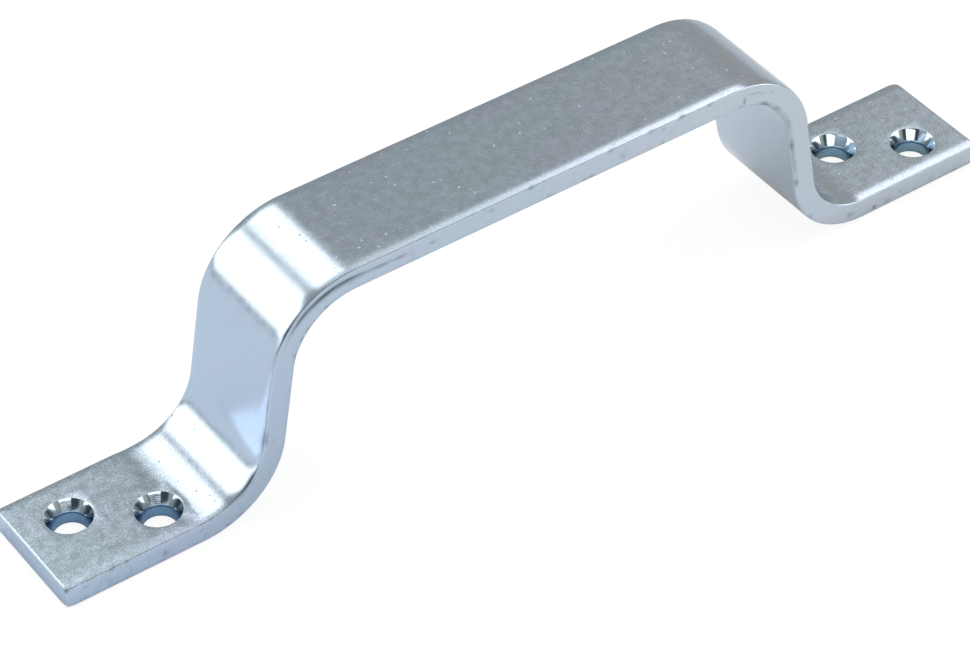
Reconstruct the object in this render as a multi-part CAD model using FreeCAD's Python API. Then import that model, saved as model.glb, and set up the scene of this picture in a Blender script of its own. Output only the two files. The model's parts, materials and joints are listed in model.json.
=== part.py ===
"""Strap handle: one length of flat steel bar, bent four times into a raised grip between two feet.

Millimetres, +Z up. X runs along the bar from foot to foot, Y across its width.
The origin lies on the plane that the feet rest on, under the middle of the grip.
"""
import FreeCAD, Part
import math
import os
from FreeCAD import Vector

# The flat bar. Its upper face is the outside of the grip and the top of the feet.
bar_width = 25.0
bar_thickness = 5.0
upper_edge_radius = 1.0
lower_edge_radius = 0.5
end_edge_radius = 0.3

# The bent shape. The shoulder span is measured between the grip's two corners, as if they were sharp.
overall_length = 212.0
overall_height = 48.0
shoulder_span = 117.0
leg_flare = 9.5

# Inside radii of the bends: at a foot the inside is the upper face, at a shoulder the lower one.
foot_bend_radius = 13.5
shoulder_bend_radius = 14.0

# The screw holes: two in each foot, one in each of two rows that run along the bar.
hole_diameter = 6.4
countersink_diameter = 9.2
countersink_angle = 60.0
outer_hole_to_end = 10.0
hole_pitch = 14.0
row_pitch = 8.0
row_shift = -0.8

# How far the hole tools reach past the metal.
overrun = 1.0


def bend_corners():
    """Corners of the bar's upper face seen from the front, as if its bends were sharp, from left to right."""
    rise = overall_height - bar_thickness
    shoulder_x = shoulder_span / 2
    foot_x = shoulder_x + rise * math.tan(math.radians(leg_flare))
    right = [
        Vector(shoulder_x, 0, overall_height),
        Vector(foot_x, 0, bar_thickness),
        Vector(overall_length / 2, 0, bar_thickness),
    ]
    left = [Vector(-corner.x, 0, corner.z) for corner in reversed(right)]
    return left + right


def moved_inward(corners, depth):
    """The corners moved into the metal, so that each straight run shifts by depth at right angles to itself."""
    runs = [(end - start).normalize() for start, end in zip(corners, corners[1:])]
    inward = [Vector(run.z, 0, -run.x) for run in runs]
    moved = [corners[0] + inward[0] * depth]
    for corner, before, after in zip(corners[1:], inward, inward[1:]):
        mitre = (before + after).normalize()
        moved.append(corner + mitre * (depth / mitre.dot(before)))
    moved.append(corners[-1] + inward[-1] * depth)
    return moved


def corner_arc(before, corner, after, radius):
    """Start, middle and end of the arc that rounds a corner and is tangent to both of its sides."""
    back = (before - corner).normalize()
    ahead = (after - corner).normalize()
    half_angle = back.getAngle(ahead) / 2
    reach = radius / math.tan(half_angle)
    nearest = radius / math.sin(half_angle) - radius
    return corner + back * reach, corner + (back + ahead).normalize() * nearest, corner + ahead * reach


def rounded_wire(corners, radii, closed):
    """A wire of straight runs joined by tangent arcs. An open one keeps its first and last points."""
    inner = range(len(corners)) if closed else range(1, len(corners) - 1)
    neighbours = [(corners[i - 1], corners[i], corners[(i + 1) % len(corners)]) for i in inner]
    arcs = [corner_arc(*three, radius) for three, radius in zip(neighbours, radii)]
    last = arcs[-1][2] if closed else corners[0]
    edges = []
    for start, middle, end in arcs:
        edges.append(Part.LineSegment(last, start).toShape())
        edges.append(Part.Arc(start, middle, end).toShape())
        last = end
    if not closed:
        edges.append(Part.LineSegment(last, corners[-1]).toShape())
    return Part.Wire(edges)


def middle_line():
    """The bent line through the middle of the bar's thickness."""
    half = bar_thickness / 2
    foot = foot_bend_radius + half
    shoulder = shoulder_bend_radius + half
    return rounded_wire(moved_inward(bend_corners(), half), [foot, shoulder, shoulder, foot], closed=False)


def bar_section(centre):
    """The flat bar's cross section at its left end, rounder at the upper edges than at the lower ones."""
    across = Vector(0, bar_width / 2, 0)
    upward = Vector(0, 0, bar_thickness / 2)
    corners = [centre + across + upward, centre - across + upward, centre - across - upward, centre + across - upward]
    radii = [upper_edge_radius, upper_edge_radius, lower_edge_radius, lower_edge_radius]
    return rounded_wire(corners, radii, closed=True)


def bent_bar():
    """The section swept along the middle line, with the edges of both sheared ends slightly rounded."""
    line = middle_line()
    section = bar_section(line.Vertexes[0].Point)
    bar = line.makePipeShell([section], True, False)
    end_x = overall_length / 2
    end_edges = [edge for edge in bar.Edges if math.isclose(abs(edge.CenterOfMass.x), end_x)]
    return bar.makeFillet(end_edge_radius, end_edges)


def countersunk_hole(x, y):
    """The tool for one screw hole: a straight bore, and a cone that reaches its diameter at the foot's top."""
    bore_radius = hole_diameter / 2
    rim_radius = countersink_diameter / 2
    slope = math.tan(math.radians(countersink_angle / 2))
    cone_depth = (rim_radius - bore_radius) / slope
    bore = Part.makeCylinder(bore_radius, bar_thickness + 2 * overrun, Vector(x, y, -overrun))
    tip = Vector(x, y, bar_thickness - cone_depth)
    cone = Part.makeCone(bore_radius, rim_radius + overrun * slope, cone_depth + overrun, tip)
    return bore.fuse(cone)


def hole_centres():
    """Centres of the four screw holes. The outer hole of one foot is in the same row as the inner one of the other."""
    outer_x = overall_length / 2 - outer_hole_to_end
    inner_x = outer_x - hole_pitch
    back_row = row_shift + row_pitch / 2
    front_row = row_shift - row_pitch / 2
    return [(-outer_x, back_row), (-inner_x, front_row), (inner_x, back_row), (outer_x, front_row)]


def strap_handle():
    """The finished handle, one solid."""
    tools = [countersunk_hole(x, y) for x, y in hole_centres()]
    return bent_bar().cut(tools).Solids[0]


def main():
    """Writes the handle's STEP file."""
    os.makedirs("parts", exist_ok=True)
    strap_handle().exportStep("parts/strap_handle.step")


main()
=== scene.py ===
"""Looks of the strap handle: flat steel bar, bent four times, with countersunk holes, bright zinc plated.

The handle is drawn in millimetres and brought to metres at the end. +Z is up, X runs from foot to foot and
Y across the bar. Every vertex also keeps its place on the bar before it was bent, and the plating's patterns
follow that, so that they run on round the bends.
"""
import json
import logging
import math
import random
from dataclasses import dataclass, field
from enum import Enum

import bmesh
import bpy
import numpy as np
from mathutils import Matrix, Vector, noise


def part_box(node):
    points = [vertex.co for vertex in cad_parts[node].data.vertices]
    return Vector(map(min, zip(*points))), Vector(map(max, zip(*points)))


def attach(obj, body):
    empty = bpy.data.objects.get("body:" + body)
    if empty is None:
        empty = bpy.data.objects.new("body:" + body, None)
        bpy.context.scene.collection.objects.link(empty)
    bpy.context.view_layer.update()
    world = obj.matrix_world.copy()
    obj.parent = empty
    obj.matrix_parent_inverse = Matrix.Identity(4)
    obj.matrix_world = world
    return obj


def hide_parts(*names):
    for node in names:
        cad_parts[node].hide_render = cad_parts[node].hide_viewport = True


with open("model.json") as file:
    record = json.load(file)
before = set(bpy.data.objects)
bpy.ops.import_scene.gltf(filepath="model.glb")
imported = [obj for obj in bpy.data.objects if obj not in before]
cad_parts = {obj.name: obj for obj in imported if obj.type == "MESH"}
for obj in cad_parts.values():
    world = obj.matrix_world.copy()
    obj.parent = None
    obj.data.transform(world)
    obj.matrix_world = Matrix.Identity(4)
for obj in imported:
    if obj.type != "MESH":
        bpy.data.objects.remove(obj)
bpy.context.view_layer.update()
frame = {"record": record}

log = logging.getLogger("strap_handle")

MM = 0.001
NODE = "strap_handle"

# Names of the attributes that the bar's vertices carry for the plating.
UNBENT = "unbent"
# Darkening: painted shade in the groove and on bent edges, and darker nicks and marks.
SHADE_AND_DARKENING = "shade_and_darkening"
GRAIN = "grain"

# Millimetres within which two places count as the same, and within which vertices are merged.
CLOSE = 0.01
TIGHT = 0.001

# The power, in watts per square metre, at which a mirror shows an area lamp as plain white.
WHITE_POWER = 4.0

Colour = tuple[float, float, float, float]
Socket = bpy.types.NodeSocket
Tree = bpy.types.NodeTree
Element = bmesh.types.BMVert | bmesh.types.BMEdge


class Region(Enum):
    """The bar's surfaces that were made in different ways, in the order of their material slots."""

    ROLLED_FACE = 0
    EDGE_FACE = 1
    COUNTERSINK = 2
    BORE = 3


def linear(hex_colour: str) -> Colour:
    """Turns an sRGB colour into the linear values that Blender's sockets take.

    Args:
        hex_colour: six hexadecimal digits, red first, after a hash sign.

    Returns:
        Red, green and blue in linear light, and an alpha of one.
    """
    levels = [int(hex_colour[i:i + 2], 16) / 255 for i in (1, 3, 5)]
    red, green, blue = (v / 12.92 if v <= 0.04045 else ((v + 0.055) / 1.055) ** 2.4 for v in levels)
    return red, green, blue, 1.0


def add_node(tree: Tree, kind: str, inputs: dict[int | str, object] | None = None,
             **settings: object) -> bpy.types.Node:
    """Adds one node with its settings, and sets or links its inputs.

    Args:
        tree: the node tree that gets the node.
        kind: the node's Blender type.
        inputs: for each input's name or number, a value or the output socket that feeds it.
        settings: the node's own properties.

    Returns:
        The new node.
    """
    node = tree.nodes.new(kind)
    for name, value in settings.items():
        setattr(node, name, value)
    for name, value in (inputs or {}).items():
        if isinstance(value, Socket):
            tree.links.new(value, node.inputs[name])
        else:
            node.inputs[name].default_value = value
    return node


def per_metre(size_mm: float) -> float:
    """The scale of a noise or cell pattern whose features are about size_mm across."""
    return 1.0 / (size_mm * MM)


def new_material(name: str) -> bpy.types.Material:
    """Starts a material without nodes.

    Args:
        name: its name.

    Returns:
        The material.
    """
    made = bpy.data.materials.new(name)
    made.use_nodes = True
    made.node_tree.nodes.clear()
    return made


def finished_mesh(bm: bmesh.types.BMesh, name: str) -> bpy.types.Mesh:
    """Turns a bmesh into a mesh, and frees it.

    Args:
        bm: the bmesh.
        name: the mesh's name.

    Returns:
        The mesh.
    """
    mesh = bpy.data.meshes.new(name)
    bm.to_mesh(mesh)
    bm.free()
    return mesh


def add_object(name: str, data: bpy.types.ID) -> bpy.types.Object:
    """Adds an object to the scene.

    Args:
        name: its name.
        data: its mesh, lamp or camera.

    Returns:
        The object.
    """
    made = bpy.data.objects.new(name, data)
    bpy.context.scene.collection.objects.link(made)
    return made


def direction(azimuth: float, elevation: float) -> Vector:
    """Turns two angles, in degrees, into a direction.

    Args:
        azimuth: angle from +X towards +Y.
        elevation: angle above the floor.

    Returns:
        The direction.
    """
    turn, rise = math.radians(azimuth), math.radians(elevation)
    return Vector((math.cos(turn) * math.cos(rise), math.sin(turn) * math.cos(rise), math.sin(rise)))


@dataclass(frozen=True)
class ZincPlate:
    """Bright zinc plate on steel: electroplated, then dipped in a blue passivate.

    To the eye it is a soft mirror with a cold blue cast that drifts a little towards lilac and cyan. The
    steel's own grain shows through as a fine speckle. Pale, rougher specks are painted a lighter colour, a
    painted glint, and marked places are painted a dark grey-blue: painted shade in the groove and on bent
    edges, darkening elsewhere. Sizes are in millimetres, and a pattern's effect comes in over its span.
    """

    name: str
    plain: str = "#BFCBDA"
    lilac: str = "#C2CADA"
    cyan: str = "#BBCDD6"
    # Lighter colour of the pale specks: a painted glint.
    speck_glint: str = "#DFE8EE"
    # Dark grey-blue for marked places: painted shade in the groove and on bent edges, and darker nicks.
    shade_and_darkening: str = "#404A54"
    roughness_low: float = 0.17
    roughness_high: float = 0.25
    grain_roughness: float = 0.03
    drift_size: float = 16.0
    drift_span: tuple[float, float] = (0.35, 0.65)
    mottle_size: float = 1.8
    mottle_span: tuple[float, float] = (0.36, 0.64)
    mottle_shade: float = 0.05
    matt_span: tuple[float, float] = (0.3, 0.7)
    grain_size: float = 0.34
    grain_span: tuple[float, float] = (0.44, 0.68)
    grain_shade: float = 0.26
    grain_height: float = 0.004
    speck_clear: tuple[float, float] = (0.15, 0.40)
    speck_spacing: float = 1.5
    speck_share: float = 0.87
    speck_size: float = 0.40
    speck_drift: float = 0.5

    def material(self) -> bpy.types.Material:
        """Builds the plating's shader.

        Returns:
            The material, with its patterns on the bar's unbent coordinates.
        """
        made = new_material(self.name)
        tree = made.node_tree
        place = add_node(tree, "ShaderNodeAttribute", attribute_name=UNBENT).outputs["Vector"]
        darkened, clear = (add_node(tree, "ShaderNodeAttribute", attribute_name=name).outputs["Fac"]
                          for name in (SHADE_AND_DARKENING, GRAIN))
        drift, mottle, grain = (
            add_node(tree, "ShaderNodeTexNoise",
                     {"Vector": place, "Scale": per_metre(size), "Detail": 3.0, "Roughness": 0.6}).outputs[0]
            for size in (self.drift_size, self.mottle_size, self.grain_size))
        tint = self.tint(tree, clear, drift, mottle, grain)
        speck_glint = self.specks(tree, place, clear, grain)
        # The specks' lighter colour is a painted glint; they are also rougher.
        speck_glinted = add_node(tree, "ShaderNodeMix", {0: speck_glint, 6: tint, 7: linear(self.speck_glint)},
                           data_type="RGBA")
        # Marked places take the dark colour: painted shade in the groove and on bent edges.
        shown = add_node(tree, "ShaderNodeMix", {0: darkened, 6: speck_glinted.outputs[2], 7: linear(self.shade_and_darkening)},
                         data_type="RGBA")
        matt = add_node(tree, "ShaderNodeMapRange",
                        {"Value": mottle, "From Min": self.matt_span[0], "From Max": self.matt_span[1],
                         "To Min": self.roughness_low, "To Max": self.roughness_high})
        grainy = add_node(tree, "ShaderNodeMath",
                          {0: clear, 1: self.grain_roughness, 2: matt.outputs["Result"]},
                          operation="MULTIPLY_ADD")
        rough = add_node(tree, "ShaderNodeMath", {0: grainy.outputs[0], 1: speck_glint}, operation="ADD",
                         use_clamp=True)
        bump = add_node(tree, "ShaderNodeBump",
                        {"Height": grain, "Strength": clear, "Distance": self.grain_height * MM})
        metal = add_node(tree, "ShaderNodeBsdfPrincipled",
                         {"Base Color": shown.outputs[2], "Metallic": 1.0, "Roughness": rough.outputs[0],
                          "Normal": bump.outputs["Normal"]})
        add_node(tree, "ShaderNodeOutputMaterial", {"Surface": metal.outputs["BSDF"]})
        return made

    def tint(self, tree: Tree, clear: Socket, drift: Socket, mottle: Socket, grain: Socket) -> Socket:
        """Mixes the plating's colour, without specks and stains.

        Args:
            tree: the material's node tree.
            clear: how clearly the mottling and the grain show.
            drift: the pattern of the cast's drift.
            mottle: the pattern of the mottling.
            grain: the pattern of the grain.

        Returns:
            The colour's socket.
        """
        lean = add_node(tree, "ShaderNodeMapRange",
                        {"Value": drift, "From Min": self.drift_span[0], "From Max": self.drift_span[1]})
        cast = add_node(tree, "ShaderNodeMix",
                        {0: lean.outputs["Result"], 6: linear(self.cyan), 7: linear(self.lilac)},
                        data_type="RGBA")
        tint = add_node(tree, "ShaderNodeMix", {0: mottle, 6: cast.outputs[2], 7: linear(self.plain)},
                        data_type="RGBA").outputs[2]
        for pattern, span, darker, lighter in (
                (mottle, self.mottle_span, self.mottle_shade, self.mottle_shade),
                (grain, self.grain_span, self.grain_shade / 2, self.grain_shade)):
            level = add_node(tree, "ShaderNodeMapRange",
                             {"Value": pattern, "From Min": span[0], "From Max": span[1],
                              "To Min": 1.0 - darker, "To Max": 1.0 + lighter})
            tint = add_node(tree, "ShaderNodeMix", {0: clear, 6: tint, 7: level.outputs["Result"]},
                            data_type="RGBA", blend_type="MULTIPLY").outputs[2]
        return tint

    def specks(self, tree: Tree, place: Socket, clear: Socket, grain: Socket) -> Socket:
        """Scatters the specks, each of its own size and strength, in a few of the pattern's cells.

        Args:
            tree: the material's node tree.
            place: the place on the unbent bar.
            clear: how clearly the grain shows.
            grain: the pattern of the grain.

        Returns:
            The socket of a value that is zero between the specks.
        """
        spread = add_node(tree, "ShaderNodeMapRange",
                          {"Value": clear, "From Min": self.speck_clear[0], "From Max": self.speck_clear[1]})
        moved = add_node(tree, "ShaderNodeVectorMath", {0: place, 1: grain}, operation="ADD")
        ragged = add_node(tree, "ShaderNodeMix",
                          {0: self.speck_drift * self.speck_size * MM, 4: place, 5: moved.outputs[0]},
                          data_type="VECTOR")
        cells = add_node(tree, "ShaderNodeTexVoronoi",
                         {"Vector": ragged.outputs[1], "Scale": per_metre(self.speck_spacing)},
                         voronoi_dimensions="2D")
        chance = add_node(tree, "ShaderNodeSeparateColor", {0: cells.outputs["Color"]})
        reach = add_node(tree, "ShaderNodeMapRange",
                         {"Value": chance.outputs[0], "From Min": self.speck_share,
                          "To Max": self.speck_size / self.speck_spacing})
        near = add_node(tree, "ShaderNodeMapRange",
                        {"Value": cells.outputs["Distance"], "From Max": reach.outputs[0],
                         "To Min": 1.0, "To Max": 0.0}, interpolation_type="SMOOTHSTEP")
        strong = add_node(tree, "ShaderNodeMath", {0: chance.outputs[1], 1: near.outputs["Result"]},
                          operation="MULTIPLY")
        return add_node(tree, "ShaderNodeMath", {0: strong.outputs[0], 1: spread.outputs["Result"]},
                        operation="MULTIPLY").outputs[0]


@dataclass(frozen=True)
class TurnedZinc:
    """Zinc plate over a turned surface: brighter than the bar's faces, with the tool's fine rings.

    In the bores it is painted a darker, deeper blue: painted shade for the light's many bounces down the
    hole.
    """

    name: str = "zinc_plate_on_turned_countersink"
    colour: str = "#CBD8E2"
    roughness_low: float = 0.07
    roughness_high: float = 0.16
    ring_pitch: float = 0.30
    ring_height: float = 0.0007
    mottle_size: float = 1.2
    matt_span: tuple[float, float] = (0.3, 0.7)

    def material(self) -> bpy.types.Material:
        """Builds the countersink's shader.

        Returns:
            The material, with rings at even heights up the cone.
        """
        made = new_material(self.name)
        tree = made.node_tree
        place = add_node(tree, "ShaderNodeTexCoord").outputs["Object"]
        mottle = add_node(tree, "ShaderNodeTexNoise",
                          {"Vector": place, "Scale": per_metre(self.mottle_size), "Detail": 3.0})
        matt = add_node(tree, "ShaderNodeMapRange",
                        {"Value": mottle.outputs["Fac"], "From Min": self.matt_span[0],
                         "From Max": self.matt_span[1], "To Min": self.roughness_low,
                         "To Max": self.roughness_high})
        # A wave texture at scale 1 has tau / 20 metres from crest to crest.
        rings = add_node(tree, "ShaderNodeTexWave",
                         {"Vector": place, "Scale": per_metre(self.ring_pitch) * math.tau / 20},
                         bands_direction="Z")
        bump = add_node(tree, "ShaderNodeBump",
                        {"Height": rings.outputs["Fac"], "Distance": self.ring_height * MM})
        metal = add_node(tree, "ShaderNodeBsdfPrincipled",
                         {"Base Color": linear(self.colour), "Metallic": 1.0,
                          "Roughness": matt.outputs["Result"], "Normal": bump.outputs["Normal"]})
        add_node(tree, "ShaderNodeOutputMaterial", {"Surface": metal.outputs["BSDF"]})
        return made


@dataclass(frozen=True)
class Stretch:
    """One straight or bent stretch of the bar, measured along its middle line. A bend upwards is positive."""

    length: float
    turn: float
    steps: int
    start: Vector
    heading: Vector
    along: float

    @property
    def upward(self) -> Vector:
        """The direction from the bar's middle to its upper face, where the stretch starts."""
        return Vector((-self.heading.z, 0, self.heading.x))

    @property
    def axis(self) -> Vector:
        """The axis about which the stretch turns by a positive angle."""
        return Vector((0, -math.copysign(1, self.turn), 0))

    @property
    def centre(self) -> Vector:
        """The centre of the bend, or the start of a straight run."""
        return self.start + self.upward * (self.length / self.turn) if self.turn else self.start

    def end(self) -> tuple[Vector, Vector]:
        """Finds where the stretch ends.

        Returns:
            The end of the middle line, and the direction in which it goes on.
        """
        if not self.turn:
            return self.start + self.heading * self.length, self.heading
        turned = Matrix.Rotation(abs(self.turn), 3, self.axis)
        return self.centre + turned @ (self.start - self.centre), turned @ self.heading

    def place(self, spot: Vector, middle: float) -> Vector:
        """Finds the place that a point of this stretch had before the bar was bent.

        Args:
            spot: the point on the bent bar.
            middle: height of the middle line above the bar's lower face.

        Returns:
            The distance along the bar, the distance across it and the height above its lower face.
        """
        if not self.turn:
            out = spot - self.start
            return Vector((self.along + out.dot(self.heading), spot.y, middle + out.dot(self.upward)))
        arm = Vector((spot.x, 0, spot.z)) - self.centre
        first = self.start - self.centre
        angle = math.atan2(first.cross(arm).dot(self.axis), first.dot(arm))
        rise = (first.length - arm.length) * math.copysign(1, self.turn)
        return Vector((self.along + angle * first.length, spot.y, middle + rise))


@dataclass(frozen=True)
class Mark:
    """A dent, groove or darkened place, as a soft ellipsoid at a place on the unbent bar, in millimetres; in
    the groove and on bent edges the darkening is painted shade.
    """

    along: float
    across: float
    height: float
    reach: tuple[float, float, float]
    depth: float = 0.0
    shade_and_darkening: float = 0.0

    def strength(self, places: np.ndarray) -> np.ndarray:
        """Works out how strongly the mark shows at each place.

        Args:
            places: places on the unbent bar, one to a row.

        Returns:
            One at the middle of the mark, falling off to zero around it.
        """
        away = (places - (self.along, self.across, self.height)) / self.reach
        return np.exp(-(away ** 2).sum(axis=1))


@dataclass
class StrapHandle:
    """The handle: one length of flat bar, bent four times. Sizes are in millimetres.

    The edge faces have finer cells over fine_zone, where the groove lies. The grain's values go from foot to
    foot, by each bend's ends and middle.
    """

    thickness: float = 5.0
    shoulder_span: float = 117.0
    leg_flare: float = 9.5
    foot_bend_radius: float = 13.5
    shoulder_bend_radius: float = 14.0
    roll_over_width: float = 2.2
    roll_over_angle: float = 12.0
    corner_radius: float = 0.35
    lower_edge_radius: float = 0.5
    end_edge_radius: float = 0.16
    countersink_diameter: float = 9.2
    countersink_angle: float = 60.0
    rim_radius: float = 0.12
    rim_steps: int = 4
    cone_steps: int = 6
    bore_steps: int = 5
    hole_margin: float = 1.0
    section_spacing: float = 0.45
    cell_size: float = 0.8
    fine_cell: float = 0.16
    fine_zone: tuple[float, float] = (2.75, 3.85)
    roll_over_steps: int = 6
    edge_segments: int = 4
    edge_face_tilt: float = 8.0
    end_edge_steps: int = 3
    wave_size: float = 14.0
    wave_depth: float = 0.025
    grain_left: tuple[float, ...] = (1.0, 0.4, 0.15, 0.15, 0.2, 0.4)
    grain_right: tuple[float, ...] = (0.4, 0.2, 0.15, 0.15, 0.3, 0.65)
    nick_count: int = 90
    nick_length: tuple[float, float] = (0.25, 0.9)
    nick_height: tuple[float, float] = (0.2, 0.5)
    nick_depth: tuple[float, float] = (0.02, 0.07)
    nick_darkening: tuple[float, float] = (0.1, 0.5)
    nick_seed: int = 11
    low: Vector = field(default_factory=lambda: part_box(NODE)[0] / MM)
    high: Vector = field(default_factory=lambda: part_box(NODE)[1] / MM)

    @property
    def length(self) -> float:
        """Length from end to end."""
        return self.high.x - self.low.x

    @property
    def width(self) -> float:
        """Width of the bar."""
        return self.high.y - self.low.y

    @property
    def height(self) -> float:
        """Height from the feet's underside to the grip's top."""
        return self.high.z - self.low.z

    @property
    def bend_angle(self) -> float:
        """The angle of every bend, in radians."""
        return math.radians(90.0 - self.leg_flare)

    def stretches(self) -> list[Stretch]:
        """Works out the bar's straight runs and bends from the sizes.

        Returns:
            The stretches from the left end to the right one.
        """
        half = self.thickness / 2
        rise = self.height - self.thickness
        foot_x = self.shoulder_span / 2 + rise * math.tan(math.radians(self.leg_flare))
        reach = math.tan(self.bend_angle / 2)
        foot_cut = self.foot_bend_radius * reach
        shoulder_cut = (self.shoulder_bend_radius + self.thickness) * reach
        foot = self.length / 2 - foot_x - foot_cut
        leg = rise / math.cos(math.radians(self.leg_flare)) - foot_cut - shoulder_cut
        grip = self.shoulder_span - 2 * shoulder_cut
        foot_bend = (self.foot_bend_radius + half) * self.bend_angle
        shoulder_bend = (self.shoulder_bend_radius + half) * self.bend_angle
        up, over = self.bend_angle, -self.bend_angle
        plan = [(foot, 0.0), (foot_bend, up), (leg, 0.0), (shoulder_bend, over), (grip, 0.0),
                (shoulder_bend, over), (leg, 0.0), (foot_bend, up), (foot, 0.0)]
        along = -sum(run for run, _ in plan) / 2
        start, heading = Vector((self.low.x, 0, half)), Vector((1, 0, 0))
        made = []
        for run, turn in plan:
            made.append(Stretch(run, turn, math.ceil(run / self.section_spacing), start, heading, along))
            start, heading = made[-1].end()
            along += run
        return made

    @property
    def unbent_length(self) -> float:
        """Length of the bar's middle line."""
        return sum(stretch.length for stretch in self.stretches())

    @property
    def foot_start(self) -> float:
        """Distance from the handle's middle to where a foot's flat part starts."""
        return self.length / 2 - self.stretches()[0].length

    @property
    def foot_shift(self) -> float:
        """How much farther out a foot lies on the unbent bar than on the bent one."""
        return (self.unbent_length - self.length) / 2

    def hole_centres(self) -> list[tuple[float, float]]:
        """Reads the screw holes' centres from the record's two bolt patterns.

        Returns:
            X and Y of each hole.
        """
        rows = [m for m in frame["record"]["mounts"] if m["kind"] == "bolt_pattern"]
        return [(m["pos_m"][0] / MM + side * m["dims"]["spacing_x_mm"] / 2, m["pos_m"][1] / MM)
                for m in rows for side in (-1, 1)]

    @property
    def bore_radius(self) -> float:
        """Radius of the holes' straight part, from the record."""
        return next(m["dims"]["hole_r_mm"] for m in frame["record"]["mounts"] if m["kind"] == "bolt_pattern")

    @property
    def roll_over_radius(self) -> float:
        """Radius of the curve in which the upper face rolls over towards the front and back edges."""
        return self.roll_over_width / math.sin(math.radians(self.roll_over_angle))

    def roll_over_drop(self, across: float) -> float:
        """Works out how far the upper face has rolled over at a distance across the bar.

        Args:
            across: distance from the bar's middle line, either way.

        Returns:
            How far the face lies below its flat middle.
        """
        beyond = max(abs(across) - self.width / 2 + self.roll_over_width, 0.0)
        return self.roll_over_radius - math.sqrt(self.roll_over_radius ** 2 - beyond ** 2)

    def cell_lines(self) -> list[tuple[tuple[float, float, float], tuple[float, float, float]]]:
        """Lists the planes that divide the section into cells, the same above as below.

        Returns:
            A point and the normal of each plane, for a section that stands at X = 0.
        """
        flat = self.width / 2 - self.roll_over_width
        middle = np.linspace(-flat, flat, round(2 * flat / self.cell_size) + 1)
        rolled = [side * (flat + self.roll_over_width * i / self.roll_over_steps)
                  for i in range(1, self.roll_over_steps) for side in (-1, 1)]
        low, high = self.fine_zone
        cells = round((low - self.lower_edge_radius) / self.cell_size)
        coarse = np.linspace(self.lower_edge_radius, low, cells + 1)
        fine = np.linspace(low, high, round((high - low) / self.fine_cell) + 1)
        return ([((0, y, 0), (0, 1, 0)) for y in (*middle, *rolled)]
                + [((0, 0, z), (0, 0, 1)) for z in (*coarse[1:-1], *fine)])

    def draw_section(self, bm: bmesh.types.BMesh, stretch: Stretch) -> list[Element]:
        """Draws the bar's cross section where a stretch starts. Its upper face rolls over towards the edges.

        Args:
            bm: the mesh being built, still empty.
            stretch: the stretch that starts there.

        Returns:
            The section's vertices and edges.
        """
        # Stands the grid up across the bar, and brings it to the bar's width and thickness.
        upright = Matrix(((0, 0, 1, 0), (self.width, 0, 0, 0), (0, self.thickness, 0, self.thickness / 2),
                          (0, 0, 0, 1)))
        bmesh.ops.create_grid(bm, x_segments=1, y_segments=1, size=0.5, matrix=upright)
        bmesh.ops.bevel(bm, geom=[v for v in bm.verts if v.co.z < CLOSE], offset=self.lower_edge_radius,
                        segments=self.edge_segments, profile=0.5, affect="VERTICES", material=-1)
        bmesh.ops.delete(bm, geom=bm.faces[:], context="FACES_ONLY")
        for spot, normal in self.cell_lines():
            bmesh.ops.bisect_plane(bm, geom=bm.verts[:] + bm.edges[:], dist=2 * CLOSE, plane_co=spot,
                                   plane_no=normal)
        for vert in (v for v in bm.verts if v.co.z > self.thickness - CLOSE):
            vert.co.z -= self.roll_over_drop(vert.co.y)
        corners = [v for v in bm.verts
                   if abs(v.co.y) > self.width / 2 - CLOSE and v.co.z > self.fine_zone[1] + CLOSE]
        turn = math.radians(90.0 - self.roll_over_angle)
        bmesh.ops.bevel(bm, geom=corners, offset=self.corner_radius * math.tan(turn / 2),
                        segments=self.edge_segments, profile=0.5, affect="VERTICES", material=-1)
        corner = stretch.start - stretch.upward * (self.thickness / 2)
        turned = Matrix((stretch.heading, (0, 1, 0), stretch.upward)).transposed().to_4x4()
        bmesh.ops.transform(bm, matrix=Matrix.Translation(corner) @ turned, verts=bm.verts[:])
        return bm.verts[:] + bm.edges[:]

    def draw_end(self, bm: bmesh.types.BMesh, stretch: Stretch) -> list[Element]:
        """Draws the sheared left end: its face in cells, its slightly rounded edges, and one step of the bar.

        Args:
            bm: the mesh being built, still empty.
            stretch: the first stretch.

        Returns:
            The vertices and edges of the ring from which the bar goes on.
        """
        section = self.draw_section(bm, stretch)
        ends = bmesh.ops.edgeloop_fill(bm, edges=bm.edges[:])["faces"]
        bmesh.ops.translate(bm, verts=bm.verts[:], vec=stretch.heading * self.end_edge_radius)
        step = stretch.heading * (stretch.length / stretch.steps - self.end_edge_radius)
        ring = bmesh.ops.spin(bm, geom=section, cent=stretch.start, axis=stretch.axis, angle=0.0, steps=1,
                              dvec=step)["geom_last"]
        ends[0].normal_update()
        if ends[0].normal.x > 0:
            bmesh.ops.reverse_faces(bm, faces=ends)
        turns = np.linspace(0.0, math.pi / 2, self.end_edge_steps + 1)
        for before, after in zip(turns, turns[1:]):
            bmesh.ops.inset_region(bm, faces=ends, use_even_offset=True,
                                   thickness=self.end_edge_radius * (math.cos(before) - math.cos(after)),
                                   depth=self.end_edge_radius * (math.sin(after) - math.sin(before)))
        for spot, normal in self.cell_lines():
            faces = [f for f in bm.faces if f.calc_center_median().x < self.low.x + TIGHT]
            around = list({e for f in faces for e in f.edges}) + list({v for f in faces for v in f.verts})
            bmesh.ops.bisect_plane(bm, geom=faces + around, dist=2 * CLOSE, plane_co=spot, plane_no=normal)
        return ring

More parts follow.
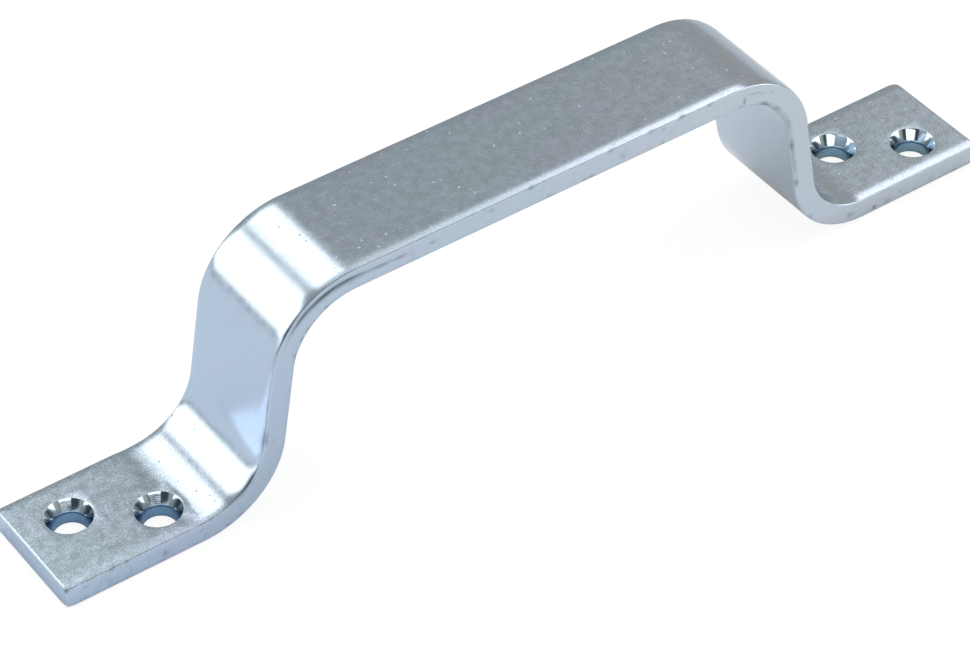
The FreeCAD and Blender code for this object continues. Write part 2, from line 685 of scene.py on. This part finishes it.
    def draw_stretch(self, stretch: Stretch, from_end: bool) -> bpy.types.Mesh:
        """Draws one stretch of the bar by sweeping its section, ring by ring.

        Args:
            stretch: the stretch to draw.
            from_end: whether it starts at the bar's left end, which is then drawn too.

        Returns:
            The stretch's mesh, whose vertices know their places on the unbent bar.
        """
        bm = bmesh.new()
        place = bm.verts.layers.float_vector.new(UNBENT)
        ring = self.draw_end(bm, stretch) if from_end else self.draw_section(bm, stretch)
        step = (0, 0, 0) if stretch.turn else stretch.heading * (stretch.length / stretch.steps)
        bmesh.ops.spin(bm, geom=ring, cent=stretch.centre, axis=stretch.axis, angle=abs(stretch.turn),
                       dvec=step, steps=stretch.steps - int(from_end))
        for vert in bm.verts:
            vert[place] = stretch.place(vert.co, self.thickness / 2)
        return finished_mesh(bm, "stretch")

    def join_stretches(self, bm: bmesh.types.BMesh, place: bmesh.types.BMLayerItem) -> None:
        """Draws and joins the stretches from left to right. The right foot is the left one turned round.

        Args:
            bm: the mesh being built, still empty.
            place: the vertex layer that keeps each vertex's place on the unbent bar.
        """
        stretches = self.stretches()
        meshes = [self.draw_stretch(stretch, stretch is stretches[0]) for stretch in stretches[:-1]]
        bm.from_mesh(meshes[0])
        bmesh.ops.rotate(bm, verts=bm.verts[:], cent=(0, 0, 0), matrix=Matrix.Rotation(math.pi, 3, "Z"))
        for vert in bm.verts:
            along, across, height = vert[place]
            vert[place] = Vector((-along, -across, height))
        for mesh in meshes:
            bm.from_mesh(mesh)
            bpy.data.meshes.remove(mesh)
        bmesh.ops.remove_doubles(bm, verts=bm.verts[:], dist=2 * TIGHT)

    def hole_profile(self) -> list[tuple[float, float]]:
        """Draws the outline of a screw hole from the foot's top to its underside.

        Returns:
            Radius and height of each point.
        """
        slope = math.radians(self.countersink_angle / 2)
        rim = self.countersink_diameter / 2
        bore = self.bore_radius
        throat = self.thickness - (rim - bore) / math.tan(slope)
        turn = math.pi / 2 - slope
        reach = self.rim_radius * math.tan(turn / 2)
        rounded = [(rim + reach - self.rim_radius * math.sin(angle),
                    self.thickness - self.rim_radius * (1 - math.cos(angle)))
                   for angle in np.linspace(0.0, turn, self.rim_steps + 1)]
        top, height = rounded[-1]
        cone = [(top + (bore - top) * share, height + (throat - height) * share)
                for share in np.linspace(0.0, 1.0, self.cone_steps + 1)[1:]]
        straight = [(bore, throat * share) for share in np.linspace(1.0, 0.0, self.bore_steps + 1)[1:-1]]
        return rounded + cone + straight + [(bore, self.rim_radius), (bore + self.rim_radius, 0.0)]

    def cut_hole(self, bm: bmesh.types.BMesh, x: float, y: float) -> None:
        """Opens the bar round one screw hole, and draws the hole's turned wall from the opening's edge.

        Args:
            bm: the mesh being built.
            x: the hole's centre along the handle.
            y: its centre across the bar.
        """
        centre = Vector((x, y, 0))
        outer = self.countersink_diameter / 2 + self.rim_radius + self.hole_margin
        profile = self.hole_profile()
        throat = next(height for radius, height in profile if radius <= self.bore_radius + TIGHT)
        bend = self.foot_start - TIGHT
        for level, outline in ((self.thickness, profile), (0.0, profile[-1:])):
            near = {v for v in bm.verts if abs(v.co.z - level) < TIGHT and abs(v.co.x) > bend
                    and abs(v.co.x - x) < outer and abs(v.co.y - y) < outer}
            opened = [f for f in bm.faces if near.issuperset(f.verts)]
            inner = set(opened)
            edges = [e for f in opened for e in f.edges if not inner.issuperset(e.link_faces)]
            bmesh.ops.delete(bm, geom=opened, context="FACES")
            for number, (radius, height) in enumerate(outline):
                drawn = bmesh.ops.extrude_edge_only(bm, edges=edges)["geom"]
                edges = [e for e in drawn if isinstance(e, bmesh.types.BMEdge)]
                for vert in (v for v in drawn if isinstance(v, bmesh.types.BMVert)):
                    away = Vector((vert.co.x, vert.co.y, 0)) - centre
                    vert.co = centre + away.normalized() * radius + Vector((0, 0, height))
                if number:
                    region = Region.BORE if height < throat - CLOSE else Region.COUNTERSINK
                    for face in (f for f in drawn if isinstance(f, bmesh.types.BMFace)):
                        face.material_index = region.value

    def mark_regions(self, bm: bmesh.types.BMesh) -> None:
        """Gives each face outside the holes its region's material slot.

        Args:
            bm: the mesh being built.
        """
        least = math.cos(math.radians(self.edge_face_tilt))
        for face in bm.faces:
            if face.material_index not in (Region.COUNTERSINK.value, Region.BORE.value):
                across = abs(face.normal.y) > least
                end = abs(face.calc_center_median().x) > self.length / 2 - self.end_edge_radius
                face.material_index = (Region.EDGE_FACE if across or end else Region.ROLLED_FACE).value

    def marks(self) -> list[Mark]:
        """Lists the bar's dents and darkened places: those that stand out in the photograph, and finer ones
        at random.

        Returns:
            The marks, with their places on the unbent bar.
        """
        front, back, top = -self.width / 2, self.width / 2, self.thickness
        shoulder = self.stretches()[4].length / 2
        end = self.unbent_length / 2
        made = [
            # The groove's deep part, in the left shoulder's bend, darkened: painted shade.
            Mark(-shoulder - 12.0, front, top - 1.45, (3.6, 1.5, 0.30), 0.20, 0.80),
            Mark(-shoulder - 6.5, front, top - 1.75, (4.2, 1.5, 0.40), 0.20, 0.92),
            Mark(-shoulder - 1.5, front, top - 2.05, (3.8, 1.5, 0.28), 0.16, 0.85),
            # Painted dark reflections on the rounded corner above it, and on the left foot's bend.
            Mark(-shoulder - 15.0, front, top - 0.15, (5.5, 0.5, 0.20), 0.0, 0.75),
            Mark(-shoulder - 50.0, front, top - 0.20, (3.6, 0.6, 0.32), 0.03, 0.80),
            # The hollow across the left foot, in which its bend begins.
            Mark(27.4 - end, 0.0, top, (1.7, 40.0, 0.8), 0.12, 0.0),
            # The groove's end, on the grip, darkened: painted shade.
            Mark(-shoulder + 5.0, front, top - 2.15, (2.2, 1.5, 0.20), 0.12, 0.60),
            Mark(-shoulder + 9.2, front, top - 2.3, (1.4, 1.5, 0.22), 0.10, 0.50),
            # Two nicks on the grip.
            Mark(-26.3, front, 2.6, (0.80, 0.8, 0.24), 0.08, 0.60),
            Mark(-30.5, front, 2.0, (0.22, 0.8, 1.00), 0.04, 0.30),
            # The left foot's worn corners, the upper one darkened, and nicks on its edge.
            Mark(-end, front, top - 0.5, (0.6, 0.8, 0.4), 0.05, 0.8),
            Mark(-end, front, 0.4, (0.9, 1.2, 1.4), 0.30, 0.0),
            Mark(20.6 - end, front, 2.0, (0.45, 0.8, 0.80), 0.12, 0.35),
            Mark(13.3 - end, front, 2.1, (0.35, 0.8, 0.70), 0.06, 0.30),
            Mark(8.7 - end, front, 1.8, (0.30, 0.8, 0.70), 0.05, 0.30),
            # Faint marks on the grip.
            Mark(16.4, front, 2.0, (0.80, 0.8, 0.80), 0.03, 0.22),
            Mark(27.2, front, 2.4, (0.90, 0.8, 0.40), 0.03, 0.20),
            Mark(29.7, front, top - 0.4, (0.80, 0.6, 0.40), 0.08, 0.40),
            # A nick and a scratch on the right shoulder's bend, and the broken line along the leg.
            Mark(shoulder + 2.6, front, 1.6, (0.30, 0.8, 0.55), 0.10, 0.85),
            Mark(shoulder + 5.0, front, 2.9, (2.20, 0.8, 0.12), 0.04, 0.45),
            Mark(shoulder + 9.0, front, 0.5, (1.80, 0.8, 0.28), 0.06, 0.70),
            Mark(shoulder + 13.5, front, 0.4, (1.60, 0.6, 0.22), 0.05, 0.55),
            Mark(shoulder + 20.5, front, 0.4, (2.80, 0.6, 0.17), 0.04, 0.50),
            Mark(shoulder + 26.5, front, 0.4, (2.20, 0.6, 0.19), 0.05, 0.55),
            Mark(shoulder + 32.0, front, 0.4, (2.80, 0.6, 0.17), 0.04, 0.50),
            Mark(shoulder + 37.0, front, 0.5, (0.70, 0.7, 0.34), 0.06, 0.70),
            # A nick on the right foot, and its worn back corner.
            Mark(end - 26.1, front, 1.2, (0.50, 0.8, 0.50), 0.10, 0.70),
            Mark(end, back, 2.5, (0.9, 0.9, 6.0), 0.40, 0.0),
        ]
        scatter = random.Random(self.nick_seed)
        for _ in range(self.nick_count):
            along = scatter.uniform(-end, end)
            side = scatter.choice((front, front, back))
            height = scatter.choice((0.4, 0.4, top - 0.5, scatter.uniform(0.8, top - 1.2)))
            reach = (scatter.uniform(*self.nick_length), 0.8, scatter.uniform(*self.nick_height))
            depth = scatter.uniform(*self.nick_depth)
            made.append(Mark(along, side, height, reach, depth, scatter.uniform(*self.nick_darkening)))
        return made

    def grain_strength(self, places: np.ndarray) -> np.ndarray:
        """Works out how clearly the steel's grain shows: on the feet most, and least on the legs.

        Args:
            places: places on the unbent bar, one to a row.

        Returns:
            One where the grain shows fully.
        """
        foot, foot_bend, leg, shoulder_bend, grip = (stretch.length for stretch in self.stretches()[:5])
        half = np.cumsum([grip / 2, shoulder_bend / 2, shoulder_bend / 2, leg, foot_bend / 2, foot_bend / 2])
        ends = np.concatenate([-half[::-1], half])
        return np.interp(places[:, 0], ends, self.grain_left + self.grain_right)

    def weather(self, mesh: bpy.types.Mesh) -> None:
        """Moves the surface in a little for the rolled bar's waves and dents, and notes the darkening
        (painted shade in the groove and on bent edges) and the grain.

        Args:
            mesh: the finished mesh, still in millimetres.
        """
        count = len(mesh.vertices)
        spots, normals, places = np.empty(count * 3), np.empty(count * 3), np.empty(count * 3)
        mesh.vertices.foreach_get("co", spots)
        mesh.vertices.foreach_get("normal", normals)
        mesh.attributes[UNBENT].data.foreach_get("vector", places)
        spots, normals, places = (a.reshape(-1, 3) for a in (spots, normals, places))
        waves = np.array([noise.noise(p / self.wave_size) for p in map(Vector, places)])
        depth = self.wave_depth * (1 + waves) / 2
        # How far each vertex stays undarkened; the darkening is painted shade in the groove and on bent
        # edges, and darkens nicks.
        undarkened = np.ones(count)
        for mark in self.marks():
            strength = mark.strength(places)
            depth += mark.depth * strength
            undarkened *= 1 - mark.shade_and_darkening * strength
        for x, y in self.hole_centres():
            shift = math.copysign(self.foot_shift, x)
            radius = np.hypot(places[:, 0] - x - shift, places[:, 1] - y)
            outside = radius - self.countersink_diameter / 2 - self.rim_radius
            depth *= np.clip(outside / self.hole_margin, 0, 1)
        spots -= normals * depth[:, None]
        mesh.vertices.foreach_set("co", spots.ravel())
        mesh.attributes.new(SHADE_AND_DARKENING, "FLOAT", "POINT").data.foreach_set("value", 1 - undarkened)
        mesh.attributes.new(GRAIN, "FLOAT", "POINT").data.foreach_set("value", self.grain_strength(places))

    def build(self) -> bpy.types.Object:
        """Builds the whole handle.

        Returns:
            The object, with its place in its mesh and its patterns' coordinates in the attribute.
        """
        bm = bmesh.new()
        place = bm.verts.layers.float_vector.new(UNBENT)
        self.join_stretches(bm, place)
        for x, y in self.hole_centres():
            self.cut_hole(bm, x, y)
        bmesh.ops.remove_doubles(bm, verts=bm.verts[:], dist=TIGHT)
        bmesh.ops.recalc_face_normals(bm, faces=bm.faces[:])
        self.mark_regions(bm)
        flat, shift = self.foot_start, self.foot_shift
        for vert in bm.verts:
            # The holes' walls have no unbent place yet, and on a foot it follows from the bent one.
            if abs(vert.co.x) > flat:
                vert[place] = vert.co + Vector((math.copysign(shift, vert.co.x), 0, 0))
        mesh = finished_mesh(bm, "handle_bar")
        self.weather(mesh)
        for spot in mesh.attributes[UNBENT].data:
            spot.vector = Vector(spot.vector) * MM
        mesh.transform(Matrix.Scale(MM, 4))
        mesh.polygons.foreach_set("use_smooth", [True] * len(mesh.polygons))
        mesh.update()
        return add_object("handle_bar", mesh)

    def dress(self, bar: bpy.types.Object) -> None:
        """Gives the bar its plating, region by region, and ties it to the CAD frame.

        Args:
            bar: the built object.
        """
        rolled = ZincPlate("zinc_plate_on_rolled_face")
        edge = ZincPlate("zinc_plate_on_rolled_edge", plain="#C0CCD9", lilac="#C4CADB", cyan="#BCCED8",
                         roughness_low=0.26, roughness_high=0.34, grain_roughness=0.0, grain_shade=0.05,
                         grain_height=0.001, speck_size=0.0)
        # The bores' darker, deeper blue is painted shade, for the light's many bounces down the hole.
        bore = TurnedZinc("zinc_plate_painted_shade_blue_in_drilled_bore", colour="#85A9C2", roughness_low=0.22,
                          roughness_high=0.34, ring_height=0.0)
        for finish in (rolled, edge, TurnedZinc(), bore):
            bar.data.materials.append(finish.material())
        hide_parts(NODE)
        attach(bar, "root")


@dataclass(frozen=True)
class Floor:
    """A plain floor that the camera sees near white, with the handle's faint shadow. Sizes are in metres.

    The metal mirrors its pale paint and a faint glow, blue on the left and yellow on the right, that only
    mirrors see: painted light. Where the sum of X and Y is past far_side, its paint is darker, painted shade
    that mirrors and bounced light see, and it has no glow.
    """

    size: float = 12.0
    drop: float = 0.0003
    colour: str = "#E2E8EE"
    far_shade_colour: str = "#CFD3D6"
    shown_colour: str = "#6C6C6C"
    glow: float = 0.89
    mirrored_glow_left: str = "#3D4055"
    mirrored_glow_right: str = "#6A5100"
    mirrored_glow_from: float = -0.10
    mirrored_glow_to: float = 0.14
    far_side: tuple[float, float] = (0.200, 0.178)

    def material(self) -> bpy.types.Material:
        """Builds the floor's shader.

        Returns:
            The material: matt paint, a glow that makes it near white where the camera sees it, and a painted
                glow that only mirrors see.
        """
        made = new_material("matt_white_floor")
        tree = made.node_tree
        ray = add_node(tree, "ShaderNodeLightPath").outputs
        mirrored = add_node(tree, "ShaderNodeMath", {0: ray["Is Glossy Ray"], 1: ray["Is Transmission Ray"]},
                            operation="MAXIMUM")
        place = add_node(tree, "ShaderNodeTexCoord").outputs["Object"]
        along = add_node(tree, "ShaderNodeSeparateXYZ", {0: place})
        right = add_node(tree, "ShaderNodeMapRange",
                         {"Value": along.outputs["X"], "From Min": self.mirrored_glow_from, "From Max": self.mirrored_glow_to},
                         interpolation_type="SMOOTHSTEP")
        # The glow that only mirrors see, blue on the left and yellow on the right: painted light.
        cast = add_node(tree, "ShaderNodeMix",
                        {0: right.outputs["Result"], 6: linear(self.mirrored_glow_left), 7: linear(self.mirrored_glow_right)},
                        data_type="RGBA")
        diagonal = add_node(tree, "ShaderNodeMath", {0: along.outputs["X"], 1: along.outputs["Y"]},
                            operation="ADD")
        close = add_node(tree, "ShaderNodeMapRange",
                         {"Value": diagonal.outputs[0], "From Min": self.far_side[0],
                          "From Max": self.far_side[1]}, interpolation_type="SMOOTHSTEP")
        shared = add_node(tree, "ShaderNodeMath", {0: mirrored.outputs[0], 1: close.outputs["Result"]},
                          operation="MULTIPLY")
        glow_in_mirrors = add_node(tree, "ShaderNodeMix", {0: shared.outputs[0], 6: (0, 0, 0, 1), 7: cast.outputs[2]},
                         data_type="RGBA")
        white = (self.glow, self.glow, self.glow, 1.0)
        glow = add_node(tree, "ShaderNodeMix", {0: ray["Is Camera Ray"], 6: glow_in_mirrors.outputs[2], 7: white},
                        data_type="RGBA")
        # Beyond far_side the paint is darker: painted shade that mirrors and bounced light see.
        painted = add_node(tree, "ShaderNodeMix",
                           {0: close.outputs["Result"], 6: linear(self.far_shade_colour), 7: linear(self.colour)},
                           data_type="RGBA")
        colour = add_node(tree, "ShaderNodeMix",
                          {0: ray["Is Camera Ray"], 6: painted.outputs[2], 7: linear(self.shown_colour)},
                          data_type="RGBA")
        paint = add_node(tree, "ShaderNodeBsdfDiffuse", {"Color": colour.outputs[2]})
        light = add_node(tree, "ShaderNodeEmission", {"Color": glow.outputs[2]})
        mixed = add_node(tree, "ShaderNodeAddShader", {0: paint.outputs[0], 1: light.outputs[0]})
        add_node(tree, "ShaderNodeOutputMaterial", {"Surface": mixed.outputs[0]})
        return made

    def build(self) -> bpy.types.Object:
        """Lays the floor just under the feet.

        Returns:
            The floor's object.
        """
        bm = bmesh.new()
        bmesh.ops.create_grid(bm, x_segments=1, y_segments=1, size=self.size / 2,
                              matrix=Matrix.Translation((0, 0, -self.drop)))
        mesh = finished_mesh(bm, "floor")
        mesh.materials.append(self.material())
        made = add_object("floor", mesh)
        return made


@dataclass(frozen=True)
class Softbox:
    """A rectangular softbox that points at the handle, placed in degrees and metres.

    Level is how bright a mirror shows it, where 1 is white. One that isn't mirrored only lights matt paint.
    """

    name: str
    azimuth: float
    elevation: float
    distance: float
    width: float
    height: float
    level: float
    mirrored: bool = True

    def build(self) -> bpy.types.Object:
        """Hangs the softbox.

        Returns:
            The lamp's object.
        """
        lamp = bpy.data.lights.new(self.name, "AREA")
        lamp.shape = "RECTANGLE"
        lamp.size, lamp.size_y = self.width, self.height
        lamp.energy = WHITE_POWER * self.width * self.height * self.level
        made = add_object(self.name, lamp)
        away = direction(self.azimuth, self.elevation)
        made.location = away * self.distance
        made.rotation_euler = away.to_track_quat("Z", "Y").to_euler()
        made.visible_glossy = self.mirrored
        return made


@dataclass(frozen=True)
class StudioRoom:
    """The grey room round the handle: warmer on the right, pale overhead, and dark near the photographer.

    Angles are in degrees. Each from and to are the cosines of the angles at which a colour comes in.
    """

    cool_grey: str = "#ABAFAD"
    warm_grey: str = "#B7B5AE"
    warm_azimuth: float = -35.0
    warm_from: float = -0.08
    warm_to: float = 0.12
    dark: str = "#3C4852"
    dark_azimuth: float = -123.0
    dark_elevation: float = 5.0
    dark_from: float = 0.62
    dark_to: float = 0.78
    ceiling: str = "#EDEFF0"
    ceiling_azimuth: float = 10.0
    ceiling_elevation: float = 72.0
    ceiling_from: float = 0.81
    ceiling_to: float = 0.94

    def build(self) -> bpy.types.World:
        """Builds the world's shader. The camera sees it white.

        Returns:
            The world.
        """
        world = bpy.data.worlds.new("studio_room")
        world.use_nodes = True
        tree = world.node_tree
        tree.nodes.clear()
        way = add_node(tree, "ShaderNodeTexCoord").outputs["Generated"]
        walls = self.blend(tree, way, (self.warm_azimuth, 0.0), (self.warm_from, self.warm_to),
                           linear(self.cool_grey), linear(self.warm_grey))
        walls = self.blend(tree, way, (self.dark_azimuth, self.dark_elevation),
                           (self.dark_from, self.dark_to), walls, linear(self.dark))
        walls = self.blend(tree, way, (self.ceiling_azimuth, self.ceiling_elevation),
                           (self.ceiling_from, self.ceiling_to), walls, linear(self.ceiling))
        ray = add_node(tree, "ShaderNodeLightPath").outputs
        shown = add_node(tree, "ShaderNodeMix", {0: ray["Is Camera Ray"], 6: walls, 7: (1, 1, 1, 1)},
                         data_type="RGBA")
        sky = add_node(tree, "ShaderNodeBackground", {"Color": shown.outputs[2]})
        add_node(tree, "ShaderNodeOutputWorld", {"Surface": sky.outputs[0]})
        bpy.context.scene.world = world
        return world

    def blend(self, tree: Tree, way: Socket, towards: tuple[float, float], span: tuple[float, float],
              away: Colour | Socket, near: Colour) -> Socket:
        """Blends from one colour to another as the direction turns towards a place in the room.

        Args:
            tree: the world's node tree.
            way: the direction looked in.
            towards: azimuth and elevation of the place, in degrees.
            span: cosines of the angles to it at which the blend starts and is complete.
            away: colour, or output socket, far from the place.
            near: colour near to it.

        Returns:
            The blended colour's socket.
        """
        facing = add_node(tree, "ShaderNodeVectorMath", {0: way, 1: direction(*towards)},
                          operation="DOT_PRODUCT")
        share = add_node(tree, "ShaderNodeMapRange",
                         {"Value": facing.outputs["Value"], "From Min": span[0], "From Max": span[1]},
                         interpolation_type="SMOOTHSTEP")
        return add_node(tree, "ShaderNodeMix", {0: share.outputs["Result"], 6: away, 7: near},
                        data_type="RGBA").outputs[2]


@dataclass(frozen=True)
class PhotoCamera:
    """The camera, fitted to the photograph's outlines. Angles are in degrees, lengths in millimetres."""

    azimuth: float = -35.105
    elevation: float = 41.984
    roll: float = -0.574
    distance: float = 695.28
    aim: tuple[float, float, float] = (-6.147, 0.0, 6.456)
    lens: float = 135.889
    sensor: float = 36.0
    nearest: float = 10.0
    farthest: float = 50000.0

    def build(self) -> bpy.types.Object:
        """Sets the camera up.

        Returns:
            The camera's object.
        """
        camera = bpy.data.cameras.new("photo_camera")
        camera.lens, camera.sensor_width = self.lens, self.sensor
        camera.clip_start, camera.clip_end = self.nearest * MM, self.farthest * MM
        made = add_object("photo_camera", camera)
        turned = (Matrix.Rotation(math.radians(self.azimuth), 4, "Z")
                  @ Matrix.Rotation(math.radians(90 - self.elevation), 4, "X")
                  @ Matrix.Rotation(math.radians(self.roll), 4, "Z"))
        back = turned.to_3x3() @ Vector((0, 0, 1))
        made.matrix_world = Matrix.Translation((Vector(self.aim) + back * self.distance) * MM) @ turned
        bpy.context.scene.camera = made
        return made


def main() -> None:
    """Builds the handle and its studio."""
    logging.basicConfig(level=logging.INFO, format="%(message)s")
    scene = bpy.context.scene
    scene.view_settings.view_transform = "Standard"

    handle = StrapHandle()
    bar = handle.build()
    handle.dress(bar)
    log.info("handle bar: %d vertices, %d faces", len(bar.data.vertices), len(bar.data.polygons))

    log.info("floor: %s", Floor().build().name)
    # Each has its azimuth, elevation and distance, its width and height, and its level.
    softboxes = (
        Softbox("softbox_left_back", 138.0, 25.2, 2.5, 1.68, 1.59, 1.6),
        Softbox("softbox_back", 93.5, 53.0, 2.5, 1.28, 0.97, 1.5),
        Softbox("softbox_left_low", 163.0, 6.0, 2.5, 0.75, 0.40, 1.3),
        Softbox("softbox_overhead", -2.5, 54.0, 2.5, 2.95, 0.72, 0.95),
        Softbox("softbox_right", -36.0, 11.5, 2.5, 1.90, 1.10, 1.5),
        Softbox("softbox_by_camera", -114.0, 22.3, 0.61, 0.52, 0.13, 1.7),
        Softbox("softbox_fill", -20.0, 80.0, 2.5, 2.0, 2.0, 1.1, mirrored=False),
    )
    for softbox in softboxes:
        log.info("softbox: %s", softbox.build().name)
    log.info("room: %s", StudioRoom().build().name)
    log.info("camera: %s", PhotoCamera().build().name)


if __name__ == "__main__":
    main()
